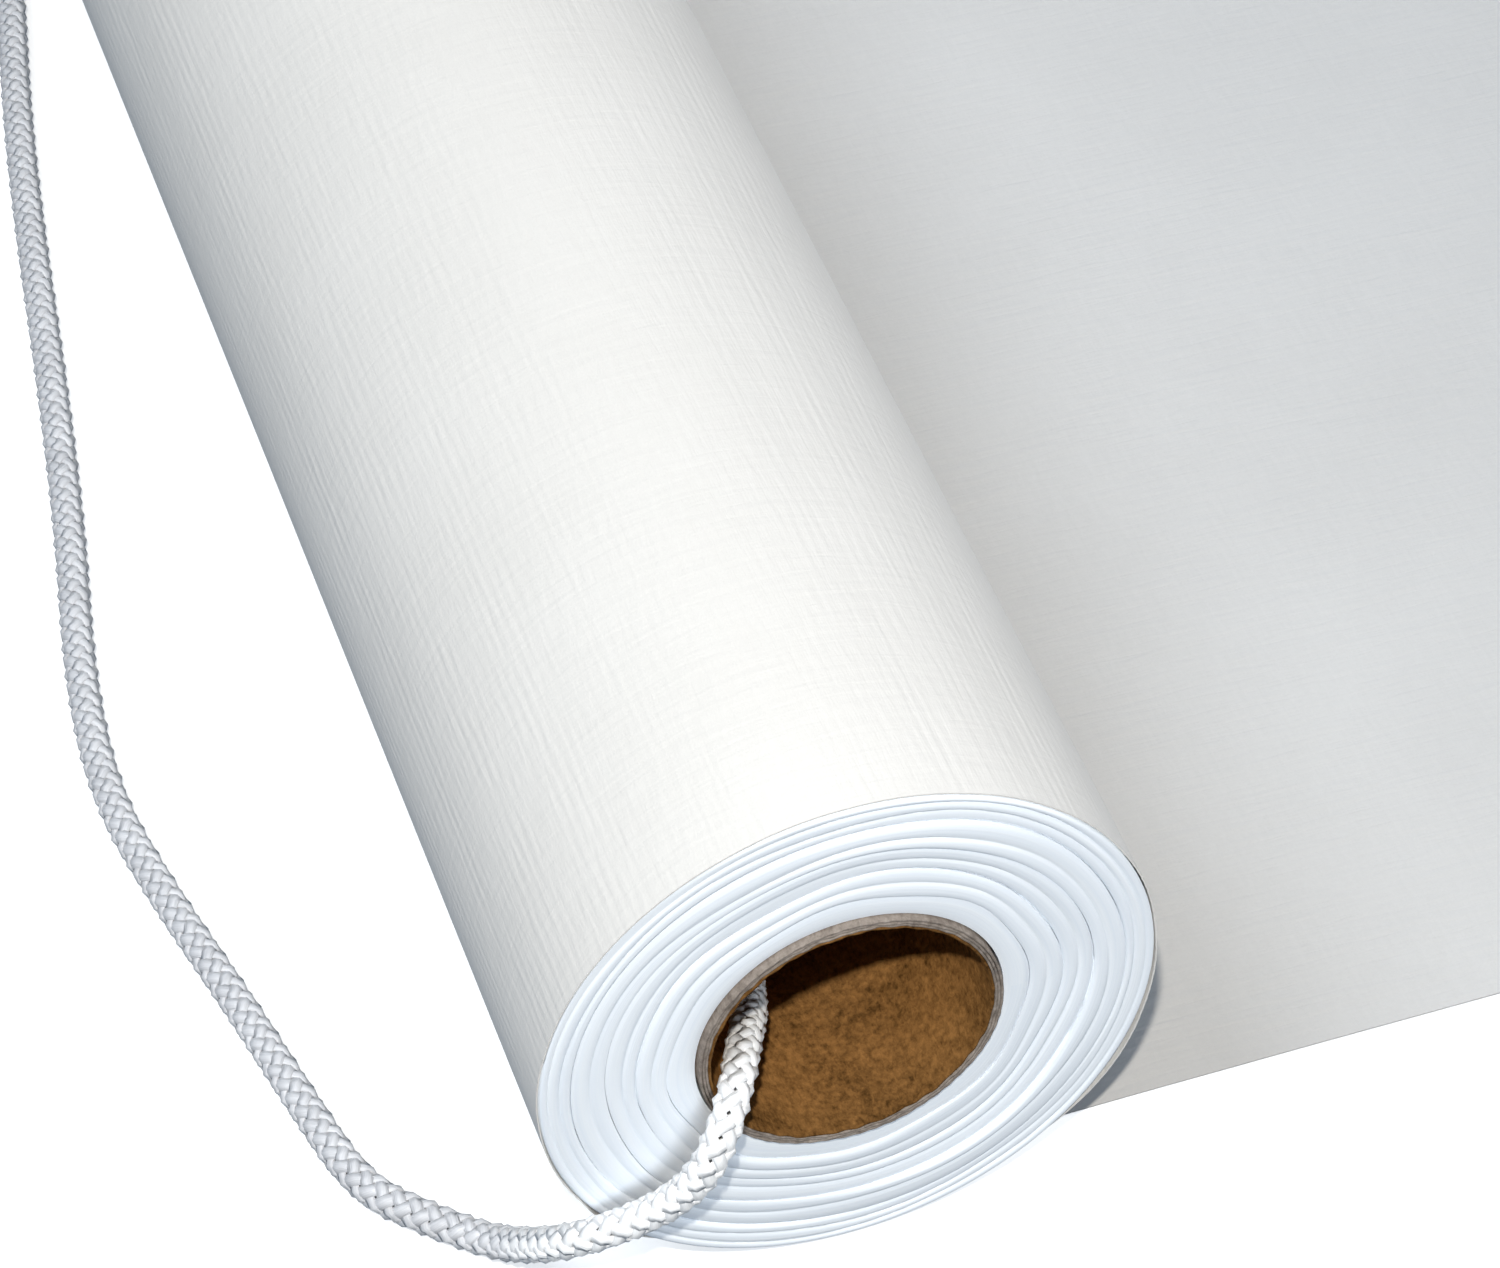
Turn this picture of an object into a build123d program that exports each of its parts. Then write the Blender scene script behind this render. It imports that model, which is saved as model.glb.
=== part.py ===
from build123d import *
import math
import os

# Pull-cord runner on a paper core: one long ribbed sheet, part wound on the core and part laid out
# on the floor, with a braided cord through the core that pulls the roll along.
# Millimetres. +Z is up and the floor is Z = 0. The core lies along Y, the laid sheet runs towards +X,
# and the roll travels towards -X as it pays out. The origin is on the floor, below the core's middle.

# ---- driving dimensions ----
INCH = 25.4
sheet_width = 36 * INCH
sheet_thickness = 0.14
core_bore_radius = 1.5 * INCH / 2
ply_thickness = 0.4
core_overhang = 1.0            # how far each end of the core stands out of the wound sheet
roll_radius = 42.0
cord_diameter = 4.8
running_gap = 0.3              # air between the lying sheet and whatever travels over it
laid_length = 420.0            # sheet that lies on the floor, from under the axis to its leading edge
laid_start = -10.0             # the lying sheet begins this far back under the roll
side_drift = 9.5               # the lying sheet sits this far towards +Y of the wound sheet

# ---- the parts' own sizes ----
glue_line = 0.05
tape_thickness = 0.12
start_tape_from = 100.0        # where a starting tape begins, in degrees from +X towards +Z
start_tape_arc = 70.0          # degrees of the core that it covers
start_tape_width = 48.0
start_tape_spacing = 380.0     # between the middles of the three starting tapes
bunch_gap = 0.1                # air between two bunches of turns
bunch_outer_radii = [24.4, 28.7, 32.9, 37.4, 41.5]
wrap_gap = 12.0                # degrees of the last turn that are missing, where it leaves the roll below
edge_tape_width = INCH
edge_tape_inset = 4.0          # from the leading edge
edge_tape_side_inset = 2.0     # from each side of the sheet
edge_tape_thickness = 0.12
liner_thickness = 0.08
liner_margin = 0.5             # the release liner is wider than its tape by this much on each side
liner_tab = 8.0                # the liner's pull tab, past the side of the sheet
step_run = 3.0                 # length over which the lying sheet climbs onto its tape
step_margin = 1.0              # flat stretch between that climb and the tape
knot_half_length = 10.0
knot_radius = 6.4
shoulder_radius = 5.12         # half-way between the knot's middle and each of its ends
cord_tail_length = 20.0
cord_tail_grip = 5.0           # how far each tail reaches into the knot
tail_side = 5.8                # how far each tail lies to one side of the cord
tail_height = 27.3
tail_tip_round = 1.44          # rounding of a tail's sealed tip

half_width = sheet_width / 2
half_core = half_width + core_overhang
lift = sheet_thickness + running_gap
axis_height = roll_radius + lift
core_radius = core_bore_radius + 4 * ply_thickness
cord_radius = cord_diameter / 2
wrap_inner_radius = roll_radius - sheet_thickness

os.makedirs("parts", exist_ok=True)


def keep(solid, node):
    """Write one sub-part and print its size."""
    export_step(solid, f"parts/{node}.step")
    print(f"{node:26s} {solid.volume:12.1f} mm3")


def across(x, z, y):
    """A drawing plane square to the core, at y, whose own axes are X and Z."""
    return Plane(origin=(x, y, z), x_dir=(1, 0, 0), z_dir=(0, -1, 0))


def tube(inner, outer, half_length):
    """A tube about the core's axis, centred along it."""
    ring = Circle(outer) - Circle(inner)
    return extrude(across(0, axis_height, half_length) * ring, amount=2 * half_length)


def arc_strip(inner, outer, start, sweep, half_length):
    """A tube with a gap in it: only the stretch from start through sweep degrees."""
    def at(radius, angle):
        return (radius * math.cos(math.radians(angle)), radius * math.sin(math.radians(angle)))

    end = start + sweep
    outline = CenterArc((0, 0), outer, start, sweep)
    outline += Line(at(outer, end), at(inner, end))
    outline += CenterArc((0, 0), inner, end, -sweep)
    outline += Line(at(inner, start), at(outer, start))
    section = make_face(outline.edges())
    return extrude(across(0, axis_height, half_length) * section, amount=2 * half_length)


def box_between(low, high):
    """A plain block from its lowest to its highest corner."""
    size = [b - a for a, b in zip(low, high)]
    middle = [(a + b) / 2 for a, b in zip(low, high)]
    return Pos(*middle) * Box(*size)


# ---- core: four glued plies of kraft board, wound into a tube ----
ply_names = ["core_liner_ply", "core_body_ply_inner", "core_body_ply_outer", "core_outer_ply"]
for number, name in enumerate(ply_names):
    ply_inner = core_bore_radius + number * ply_thickness
    ply_outer = ply_inner + ply_thickness
    if name != "core_outer_ply":
        ply_outer -= glue_line
    keep(tube(ply_inner, ply_outer, half_core), name)

# ---- three short tapes that hold the sheet's first edge to the core ----
start_tape_inner = core_radius + glue_line
start_tape_outer = start_tape_inner + tape_thickness
start_tape = arc_strip(
    start_tape_inner, start_tape_outer, start_tape_from, start_tape_arc, start_tape_width / 2
)
for place, name in enumerate(["start_tape_near", "start_tape_middle", "start_tape_far"], start=-1):
    keep(Pos(0, place * start_tape_spacing, 0) * start_tape, name)

# ---- wound sheet: bunches of turns, then the loose last turn ----
bunch_inner = start_tape_outer + bunch_gap
for number, bunch_outer in enumerate(bunch_outer_radii, start=1):
    keep(tube(bunch_inner, bunch_outer, half_width), f"wound_turns_{number}")
    bunch_inner = bunch_outer + bunch_gap

wrap_start = -90 + wrap_gap / 2
keep(arc_strip(wrap_inner_radius, roll_radius, wrap_start, 360 - wrap_gap, half_width), "outer_wrap")

# ---- laid sheet: flat, then stepped up over the tape along its leading edge ----
tape_end = laid_length - edge_tape_inset
tape_start = tape_end - edge_tape_width
step_height = liner_thickness + edge_tape_thickness + glue_line
step_end = tape_start - step_margin
under_side = [
    (laid_start, 0),
    (step_end - step_run, 0),
    (step_end, step_height),
    (laid_length, step_height),
]
upper_side = [(x, z + sheet_thickness) for x, z in reversed(under_side)]
section = make_face(Polyline(*under_side, *upper_side, close=True).edges())
laid_near = side_drift - half_width
laid_far = side_drift + half_width
keep(extrude(across(0, 0, laid_far) * section, amount=sheet_width), "laid_sheet")

tape_near = laid_near + edge_tape_side_inset
tape_far = laid_far - edge_tape_side_inset
tape_top = liner_thickness + edge_tape_thickness
tape_low = (tape_start, tape_near, liner_thickness)
tape_high = (tape_end, tape_far, tape_top)
keep(box_between(tape_low, tape_high), "leading_edge_tape")

liner_low = (tape_start - liner_margin, laid_near - liner_tab, 0)
liner_high = (tape_end + liner_margin, tape_far, liner_thickness)
keep(box_between(liner_low, liner_high), "tape_release_liner")

# ---- pull cord: one loop, from the knot in the core out of the near end, along the floor beside the
# roll, and back in at the far end ----
cord_lie = 26.2                # height of the cord's middle where it lies along the bottom of the bore
cord_floor = 2.9               # height of the cord's middle where it lies beside the roll
arc_share = 0.45               # part of a run that the arc at each of its ends may use
cord_route = [
    # from the knot to the near mouth, along the bottom of the bore
    (0, -knot_half_length, cord_lie),
    (2.2, -72, 26.4),
    (3.7, -140, 26.6),
    (3.8, -208, 26.7),
    (2.3, -274, 26.4),
    (-0.6, -334, 26.3),
    (-3.0, -380, 26.6),
    (-4.0, -411, 26.9),
    (-5.4, -429, 28.4),
    (-8.2, -441.5, 32.8),
    # over the rim and across the end of the roll
    (-12.2, -450.8, 38.4),
    (-16.2, -459.8, 40.8),
    (-20.8, -465.6, 36.4),
    (-24.4, -464.8, 28.8),
    (-29.8, -462.8, 23.4),
    (-35.4, -461.8, 21.2),
    (-40.0, -458.6, 17.0),
    (-43.0, -451.6, 9.2),
    # on the floor, out in a slack bow and back towards the roll
    (-46.2, -444.6, cord_floor),
    (-53.0, -438.2, cord_floor),
    (-60.2, -430.0, cord_floor),
    (-63.6, -413, cord_floor),
    (-67.4, -392, cord_floor),
    (-71.8, -371, cord_floor),
    (-75.0, -350, cord_floor),
    (-73.0, -326, cord_floor),
    (-67.0, -296, cord_floor),
    (-61.6, -262, cord_floor),
    (-57.2, -231, cord_floor),
    (-52.0, -199, cord_floor),
    (-44.5, -163, cord_floor),
    (-38.5, -118, cord_floor),
    (-36.0, -66, cord_floor),
    (-37.0, -8, cord_floor),
    (-41.0, 54, cord_floor),
    (-43.5, 118, cord_floor),
    (-42.5, 182, cord_floor),
    (-38.5, 244, cord_floor),
    (-36.5, 302, cord_floor),
    (-38.5, 352, cord_floor),
    (-44.5, 394, cord_floor),
    (-50.0, 424, cord_floor),
    (-51.0, 441, cord_floor),
    # up across the far end and over its rim
    (-48.0, 451.5, 5.4),
    (-44.4, 458.2, 12.6),
    (-39.2, 461.8, 19.4),
    (-32.4, 462.8, 24.8),
    (-25.6, 465.0, 30.2),
    (-19.6, 466.4, 35.8),
    (-15.0, 460.8, 39.6),
    (-11.6, 451.2, 36.8),
    # from the far mouth back to the knot
    (-8.2, 440.5, 31.6),
    (-5.2, 427, 28.0),
    (-2.6, 409, 26.6),
    (0.4, 374, 26.3),
    (2.6, 322, 26.5),
    (3.4, 262, 26.6),
    (2.8, 198, 26.5),
    (1.0, 134, 26.3),
    (-0.4, 70, 26.3),
    (0, knot_half_length, cord_lie),
]


def corner_radii(points):
    """For each corner, the largest arc that its two runs allow."""
    places = [Vector(*point) for point in points]
    radii = []
    for before, corner, after in zip(places, places[1:], places[2:]):
        turn = math.radians((corner - before).get_angle(after - corner))
        shorter_run = min((corner - before).length, (after - corner).length)
        radii.append(arc_share * shorter_run / math.tan(turn / 2))
    return radii


cord_radii = corner_radii(cord_route)
print("cord corner radii, mm:", [round(radius, 1) for radius in cord_radii])
cord_path = FilletPolyline(*cord_route, radius=cord_radii)
cord_start = Plane(origin=cord_path @ 0, z_dir=cord_path % 0)
pull_cord = sweep(cord_start * Circle(cord_radius), path=cord_path)
cord_volume = math.pi * cord_radius ** 2 * cord_path.length
print(f"cord length {cord_path.length:.0f} mm")
print(f"cord's swept volume over its section times its length {pull_cord.volume / cord_volume:.4f}")
keep(pull_cord, "pull_cord")

# ---- knot that joins the cord's two ends, low in the bore, and the two sealed tails ----
bore_floor = axis_height - core_bore_radius + running_gap
knot_middle = bore_floor + knot_radius
shoulder_height = bore_floor + shoulder_radius
knot_sections = [
    (-knot_half_length, cord_radius, cord_lie),
    (-knot_half_length / 2, shoulder_radius, shoulder_height),
    (0, knot_radius, knot_middle),
    (knot_half_length / 2, shoulder_radius, shoulder_height),
    (knot_half_length, cord_radius, cord_lie),
]
knot_rings = [across(0, height, y) * Circle(radius) for y, radius, height in knot_sections]
keep(loft(knot_rings, ruled=True), "pull_cord_knot")

tail_start = knot_half_length - cord_tail_grip
for name, end in (("cord_tail_near", -1), ("cord_tail_far", 1)):
    tail_axis = Plane(origin=(-end * tail_side, end * tail_start, tail_height), z_dir=(0, end, 0))
    tail = extrude(tail_axis * Circle(cord_radius), amount=cord_tail_grip + cord_tail_length)
    tip = tail.edges().sort_by(Axis.Y)[-1 if end > 0 else 0]
    keep(fillet(tip, tail_tip_round), name)
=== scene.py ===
import math

import bpy
import numpy as np
from mathutils import Matrix, Vector


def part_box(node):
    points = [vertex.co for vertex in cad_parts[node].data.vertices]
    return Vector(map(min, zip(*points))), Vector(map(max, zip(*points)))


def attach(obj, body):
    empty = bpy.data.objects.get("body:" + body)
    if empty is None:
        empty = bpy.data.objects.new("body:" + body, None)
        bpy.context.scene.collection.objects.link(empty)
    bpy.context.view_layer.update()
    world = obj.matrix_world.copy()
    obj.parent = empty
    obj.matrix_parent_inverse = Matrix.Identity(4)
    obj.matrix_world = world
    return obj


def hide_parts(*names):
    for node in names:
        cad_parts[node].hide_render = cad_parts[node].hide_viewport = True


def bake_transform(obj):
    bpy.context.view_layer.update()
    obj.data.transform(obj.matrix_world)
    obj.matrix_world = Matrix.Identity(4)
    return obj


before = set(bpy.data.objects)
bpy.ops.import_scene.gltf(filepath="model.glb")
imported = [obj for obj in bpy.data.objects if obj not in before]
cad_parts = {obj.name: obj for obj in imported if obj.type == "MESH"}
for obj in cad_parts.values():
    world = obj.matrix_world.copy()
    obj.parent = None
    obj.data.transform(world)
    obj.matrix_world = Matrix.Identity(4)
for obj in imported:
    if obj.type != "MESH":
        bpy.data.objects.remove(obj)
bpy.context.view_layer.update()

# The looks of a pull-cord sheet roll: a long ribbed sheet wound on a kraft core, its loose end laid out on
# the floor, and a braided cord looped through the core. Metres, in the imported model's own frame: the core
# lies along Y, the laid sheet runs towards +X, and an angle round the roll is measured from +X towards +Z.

MM = 0.001
FULL_TURN = 2 * math.pi
rng = np.random.default_rng(42)

# ---- sizes taken from the frame ----
wrap_low, wrap_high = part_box("outer_wrap")
_, core_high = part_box("core_outer_ply")
laid_low, laid_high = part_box("laid_sheet")
tape_low, tape_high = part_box("leading_edge_tape")
roll_radius = (wrap_high.x - wrap_low.x) / 2
axis_height = wrap_high.z - roll_radius
half_width = wrap_high.y
half_core = core_high.y
sheet_thickness = 0.14 * MM

# ---- the cord's facts and its route: the same points as the CAD tube's, in metres ----
cord_diameter = 4.8 * MM
CORD_ROUTE = [
    # from the knot to the near mouth, along the bottom of the bore
    (0.0, -0.010, 0.0262),
    (0.0022, -0.072, 0.0264),
    (0.0037, -0.140, 0.0266),
    (0.0038, -0.208, 0.0267),
    (0.0023, -0.274, 0.0264),
    (-0.0006, -0.334, 0.0263),
    (-0.0030, -0.380, 0.0266),
    (-0.0040, -0.411, 0.0269),
    (-0.0054, -0.429, 0.0284),
    (-0.0082, -0.4415, 0.0328),
    # over the rim and across the end of the roll
    (-0.0122, -0.4508, 0.0384),
    (-0.0162, -0.4598, 0.0408),
    (-0.0208, -0.4656, 0.0364),
    (-0.0244, -0.4648, 0.0288),
    (-0.0298, -0.4628, 0.0234),
    (-0.0354, -0.4618, 0.0212),
    (-0.0400, -0.4586, 0.0170),
    (-0.0430, -0.4516, 0.0092),
    # on the floor, out in a slack bow and back towards the roll
    (-0.0462, -0.4446, 0.0029),
    (-0.0530, -0.4382, 0.0029),
    (-0.0602, -0.4300, 0.0029),
    (-0.0636, -0.413, 0.0029),
    (-0.0674, -0.392, 0.0029),
    (-0.0718, -0.371, 0.0029),
    (-0.0750, -0.350, 0.0029),
    (-0.0730, -0.326, 0.0029),
    (-0.0670, -0.296, 0.0029),
    (-0.0616, -0.262, 0.0029),
    (-0.0572, -0.231, 0.0029),
    (-0.0520, -0.199, 0.0029),
    (-0.0445, -0.163, 0.0029),
    (-0.0385, -0.118, 0.0029),
    (-0.0360, -0.066, 0.0029),
    (-0.0370, -0.008, 0.0029),
    (-0.0410, 0.054, 0.0029),
    (-0.0435, 0.118, 0.0029),
    (-0.0425, 0.182, 0.0029),
    (-0.0385, 0.244, 0.0029),
    (-0.0365, 0.302, 0.0029),
    (-0.0385, 0.352, 0.0029),
    (-0.0445, 0.394, 0.0029),
    (-0.0500, 0.424, 0.0029),
    (-0.0510, 0.441, 0.0029),
    # up across the far end and over its rim
    (-0.0480, 0.4515, 0.0054),
    (-0.0444, 0.4582, 0.0126),
    (-0.0392, 0.4618, 0.0194),
    (-0.0324, 0.4628, 0.0248),
    (-0.0256, 0.4650, 0.0302),
    (-0.0196, 0.4664, 0.0358),
    (-0.0150, 0.4608, 0.0396),
    (-0.0116, 0.4512, 0.0368),
    # from the far mouth back to the knot
    (-0.0082, 0.4405, 0.0316),
    (-0.0052, 0.427, 0.0280),
    (-0.0026, 0.409, 0.0266),
    (0.0004, 0.374, 0.0263),
    (0.0026, 0.322, 0.0265),
    (0.0034, 0.262, 0.0266),
    (0.0028, 0.198, 0.0265),
    (0.0010, 0.134, 0.0263),
    (-0.0004, 0.070, 0.0263),
    (0.0, 0.010, 0.0262),
]


# ================================================================ camera
def add_camera():
    """The camera looks down on the near end of the roll, from its left."""
    data = bpy.data.cameras.new("camera")
    data.sensor_width = 36
    data.lens = 134.6
    data.clip_start = 0.05
    data.clip_end = 20
    camera = bpy.data.objects.new("camera", data)
    bpy.context.scene.collection.objects.link(camera)
    azimuth = math.radians(-17.69)
    elevation = math.radians(45.92)
    roll = math.radians(-1.40)
    turn = Matrix.Rotation(azimuth, 4, "Z") @ Matrix.Rotation(math.pi / 2 - elevation, 4, "X")
    place = Matrix.Translation((-0.1516, -0.8943, 0.5931))
    camera.matrix_world = place @ turn @ Matrix.Rotation(roll, 4, "Z")
    bpy.context.scene.camera = camera


# ================================================================ materials
WAVE_TURNS_PER_UNIT = 20 / FULL_TURN    # bands that the wave texture draws to a unit at a scale of 1


class Nodes:
    """A material's nodes, joined up by name."""

    def __init__(self, name):
        self.material = bpy.data.materials.new(name)
        self.material.use_nodes = True
        self.tree = self.material.node_tree
        self.shader = self.tree.nodes["Principled BSDF"]

    def add(self, kind, **settings):
        node = self.tree.nodes.new(kind)
        for name, value in settings.items():
            setattr(node, name, value)
        return node

    def join(self, source, target, socket):
        """Link an output to a named or numbered input."""
        self.tree.links.new(source, target.inputs[socket])

    def shader_values(self, **values):
        for name, value in values.items():
            self.shader.inputs[name.replace("_", " ")].default_value = value

    def place(self, coordinates, scale):
        """Texture coordinates in grains: from a UV map's name, or "Object" for the object's own space. The
        scale is the number of grains to a metre along each axis."""
        if coordinates == "Object":
            source = self.add("ShaderNodeTexCoord").outputs["Object"]
        else:
            source = self.add("ShaderNodeUVMap", uv_map=coordinates).outputs["UV"]
        mapping = self.add("ShaderNodeMapping")
        mapping.inputs["Scale"].default_value = scale
        self.join(source, mapping, "Vector")
        return mapping.outputs["Vector"]

    def height(self):
        """The height above the floor, in metres."""
        parts = self.add("ShaderNodeSeparateXYZ")
        self.join(self.add("ShaderNodeTexCoord").outputs["Object"], parts, "Vector")
        return parts.outputs["Z"]

    def stretch(self, value, low, high):
        """A value from low to high, brought to the range from 0 to 1."""
        node = self.add("ShaderNodeMapRange")
        node.inputs["From Min"].default_value = low
        node.inputs["From Max"].default_value = high
        self.join(value, node, "Value")
        return node.outputs["Result"]

    def noise(self, vector, detail=2.0, roughness=0.5, distortion=0.0):
        """Noise whose grain is one unit of its vector."""
        node = self.add("ShaderNodeTexNoise")
        node.inputs["Scale"].default_value = 1.0
        node.inputs["Detail"].default_value = detail
        node.inputs["Roughness"].default_value = roughness
        node.inputs["Distortion"].default_value = distortion
        self.join(vector, node, "Vector")
        return node.outputs["Fac"]

    def wave(self, vector, distortion, detail_scale):
        """Ribs across the vector's X, one to each unit of it."""
        node = self.add("ShaderNodeTexWave", wave_type="BANDS", bands_direction="X", wave_profile="SIN")
        node.inputs["Scale"].default_value = 1 / WAVE_TURNS_PER_UNIT
        node.inputs["Distortion"].default_value = distortion
        node.inputs["Detail"].default_value = 1.0
        node.inputs["Detail Scale"].default_value = detail_scale
        self.join(vector, node, "Vector")
        return node.outputs["Fac"]

    def math(self, operation, first, second):
        """One piece of arithmetic with two outputs or numbers."""
        node = self.add("ShaderNodeMath", operation=operation)
        for socket, value in enumerate((first, second)):
            if isinstance(value, (int, float)):
                node.inputs[socket].default_value = value
            else:
                self.join(value, node, socket)
        return node.outputs["Value"]

    def blend_sum(self, parts):
        """The sum of outputs, each times its weight."""
        total = None
        for output, weight in parts:
            scaled = self.math("MULTIPLY", output, weight)
            total = scaled if total is None else self.math("ADD", total, scaled)
        return total

    def ramp(self, factor, stops):
        """Colours against a factor: a list of (position, colour)."""
        node = self.add("ShaderNodeValToRGB")
        elements = node.color_ramp.elements
        while len(elements) < len(stops):
            elements.new(0.5)
        for element, (position, colour) in zip(elements, stops):
            element.position = position
            element.color = (*colour, 1)
        self.join(factor, node, "Fac")
        return node.outputs["Color"]

    def colour(self, output):
        self.join(output, self.shader, "Base Color")

    def bump(self, height, distance):
        node = self.add("ShaderNodeBump")
        node.inputs["Distance"].default_value = distance
        node.inputs["Strength"].default_value = 1.0
        self.join(height, node, "Height")
        self.join(node.outputs["Normal"], self.shader, "Normal")

    def roughness(self, factor, low, high):
        node = self.add("ShaderNodeMapRange")
        node.inputs["To Min"].default_value = low
        node.inputs["To Max"].default_value = high
        self.join(factor, node, "Value")
        self.join(node.outputs["Result"], self.shader, "Roughness")


def sheet_material(name, coordinates, rib_weight, crinkle_weight, dark, light):
    """Ribbed non-woven sheet. Ribs run along the vector's Y, crinkles along its X, in metres."""
    nodes = Nodes(name)
    nodes.shader_values(Sheen_Weight=0.12, Sheen_Roughness=0.5, Specular_IOR_Level=0.35)
    ribs = nodes.wave(nodes.place(coordinates, (670, 40, 40)), distortion=1.6, detail_scale=1.0)
    broken_ribs = nodes.noise(nodes.place(coordinates, (1000, 150, 150)), detail=2)
    crinkles = nodes.noise(nodes.place(coordinates, (90, 750, 90)), detail=2, distortion=0.4)
    fibres = nodes.noise(nodes.place(coordinates, (2600, 2600, 2600)), detail=2)
    height = nodes.blend_sum([
        (ribs, 0.12 * rib_weight),
        (broken_ribs, 1.3 * rib_weight),
        (crinkles, 1.6 * crinkle_weight),
        (fibres, 0.22),
    ])
    nodes.bump(height, 0.10 * MM)
    cloud = nodes.noise(nodes.place(coordinates, (22, 22, 22)), detail=3)
    tone = nodes.blend_sum([(cloud, 0.5), (fibres, 0.3), (broken_ribs, 0.2)])
    nodes.colour(nodes.ramp(tone, [(0.3, dark), (0.7, light)]))
    nodes.roughness(fibres, 0.52, 0.68)
    return nodes.material


def turns_material():
    """The cut edges of many turns: white with a painted cool tint that stands in for the cool light from the
    front, and fine strata that follow the turns.
    """
    nodes = Nodes("sheet_turns")
    nodes.shader_values(Specular_IOR_Level=0.3)
    strata = nodes.noise(nodes.place("UVMap", (3400, 18, 18)), detail=3, roughness=0.6)
    bunches = nodes.noise(nodes.place("UVMap", (700, 12, 12)), detail=1)
    height = nodes.blend_sum([(strata, 0.6), (bunches, 0.8)])
    nodes.bump(height, 0.05 * MM)
    tone = nodes.blend_sum([(strata, 0.5), (bunches, 0.5)])
    # painted light: the cool tint of these colours stands in for the cool light from the front
    nodes.colour(nodes.ramp(tone, [(0.34, (0.85, 0.90, 0.965)), (0.62, (0.92, 0.955, 0.995))]))
    nodes.roughness(strata, 0.5, 0.7)
    return nodes.material


def kraft_material(name, dark, light):
    """Kraft board: mottled brown, with long pulp fibres."""
    nodes = Nodes(name)
    nodes.shader_values(Specular_IOR_Level=0.1)
    mottle = nodes.noise(nodes.place("Object", (900, 900, 900)), detail=4, roughness=0.7)
    fibres = nodes.noise(nodes.place("Object", (1500, 700, 1500)), detail=3, roughness=0.6, distortion=0.8)
    stains = nodes.noise(nodes.place("Object", (110, 110, 110)), detail=2)
    tone = nodes.blend_sum([(mottle, 0.5), (fibres, 0.3), (stains, 0.25)])
    nodes.colour(nodes.ramp(tone, [(0.38, dark), (0.66, light)]))
    nodes.bump(nodes.blend_sum([(mottle, 0.5), (fibres, 0.5)]), 0.12 * MM)
    nodes.roughness(fibres, 0.6, 0.85)
    return nodes.material


FLOOR_SHADE_TO = 4 * MM              # painted shade: the cord is painted greyer up to this height, where it lies on the floor
UNSHADED_FROM = 14 * MM


def cord_material():
    """White filament cord. The UV map runs round a strand in U and along it in V, in metres."""
    nodes = Nodes("braided_cord")
    nodes.shader_values(Sheen_Weight=0.25, Sheen_Roughness=0.35, Specular_IOR_Level=0.5)
    filaments = nodes.noise(nodes.place("UVMap", (5200, 160, 160)), detail=2)
    soil = nodes.noise(nodes.place("Object", (160, 160, 160)), detail=2)
    nodes.bump(filaments, 0.10 * MM)
    # painted shade: the colour is darkest where the cord lies on the floor, up to 4 mm, and full from 14 mm
    # up
    off_floor = nodes.stretch(nodes.height(), FLOOR_SHADE_TO, UNSHADED_FROM)
    tone = nodes.blend_sum([(filaments, 0.35), (soil, 0.25), (off_floor, 0.4)])
    stops = [
        (0.22, (0.54, 0.54, 0.56)),
        (0.42, (0.72, 0.72, 0.74)),
        (0.72, (0.92, 0.92, 0.92)),
    ]
    nodes.colour(nodes.ramp(tone, stops))
    nodes.roughness(filaments, 0.32, 0.5)
    return nodes.material


def melted_material():
    """A cord's end, melted into one smooth lump."""
    nodes = Nodes("melted_cord_tip")
    nodes.shader_values(Specular_IOR_Level=0.5, Coat_Weight=0.3, Coat_Roughness=0.2)
    lumps = nodes.noise(nodes.place("Object", (700, 700, 700)), detail=2)
    nodes.bump(lumps, 0.15 * MM)
    nodes.colour(nodes.ramp(lumps, [(0.3, (0.52, 0.50, 0.44)), (0.7, (0.74, 0.73, 0.69))]))
    nodes.roughness(lumps, 0.25, 0.45)
    return nodes.material


def plain_paper_material(name, dark, light, roughness):
    """Thin coated or crêped paper: one colour with a fine grain across it."""
    nodes = Nodes(name)
    grain = nodes.noise(nodes.place("Object", (1100, 260, 1100)), detail=3)
    cloud = nodes.noise(nodes.place("Object", (60, 60, 60)), detail=2)
    nodes.colour(nodes.ramp(nodes.blend_sum([(grain, 0.6), (cloud, 0.4)]), [(0.35, dark), (0.65, light)]))
    nodes.bump(grain, 0.03 * MM)
    nodes.roughness(grain, roughness - 0.06, roughness + 0.08)
    return nodes.material


def floor_material():
    """A pale studio floor, bright enough to read as plain white."""
    nodes = Nodes("studio_floor")
    nodes.shader_values(Base_Color=(0.9, 0.9, 0.9, 1), Roughness=0.8, Specular_IOR_Level=0.1)
    nodes.shader_values(Emission_Color=(1, 1, 1, 1), Emission_Strength=0.45)
    return nodes.material


# ================================================================ mesh helpers
def grid(rows, columns, close_rows=False, close_columns=False):
    """Quads over a grid of points, and each quad corner's row and column, counted past a closed side."""
    last_row = rows if close_rows else rows - 1
    last_column = columns if close_columns else columns - 1
    row, column = np.meshgrid(np.arange(last_row), np.arange(last_column), indexing="ij")
    corner_rows = np.stack([row, row, row + 1, row + 1], -1).reshape(-1, 4)
    corner_columns = np.stack([column, column + 1, column + 1, column], -1).reshape(-1, 4)
    quads = (corner_rows % rows) * columns + corner_columns % columns
    return quads, corner_rows, corner_columns


def signed_volume(points, quads):
    """A closed mesh's volume, below zero if its faces point inwards."""
    a, b, c, d = (points[quads[:, corner]] for corner in range(4))
    halves = np.einsum("ij,ij->i", a, np.cross(b, c)) + np.einsum("ij,ij->i", a, np.cross(c, d))
    return halves.sum() / 6


CREASE_ANGLE = math.radians(55)


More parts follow.
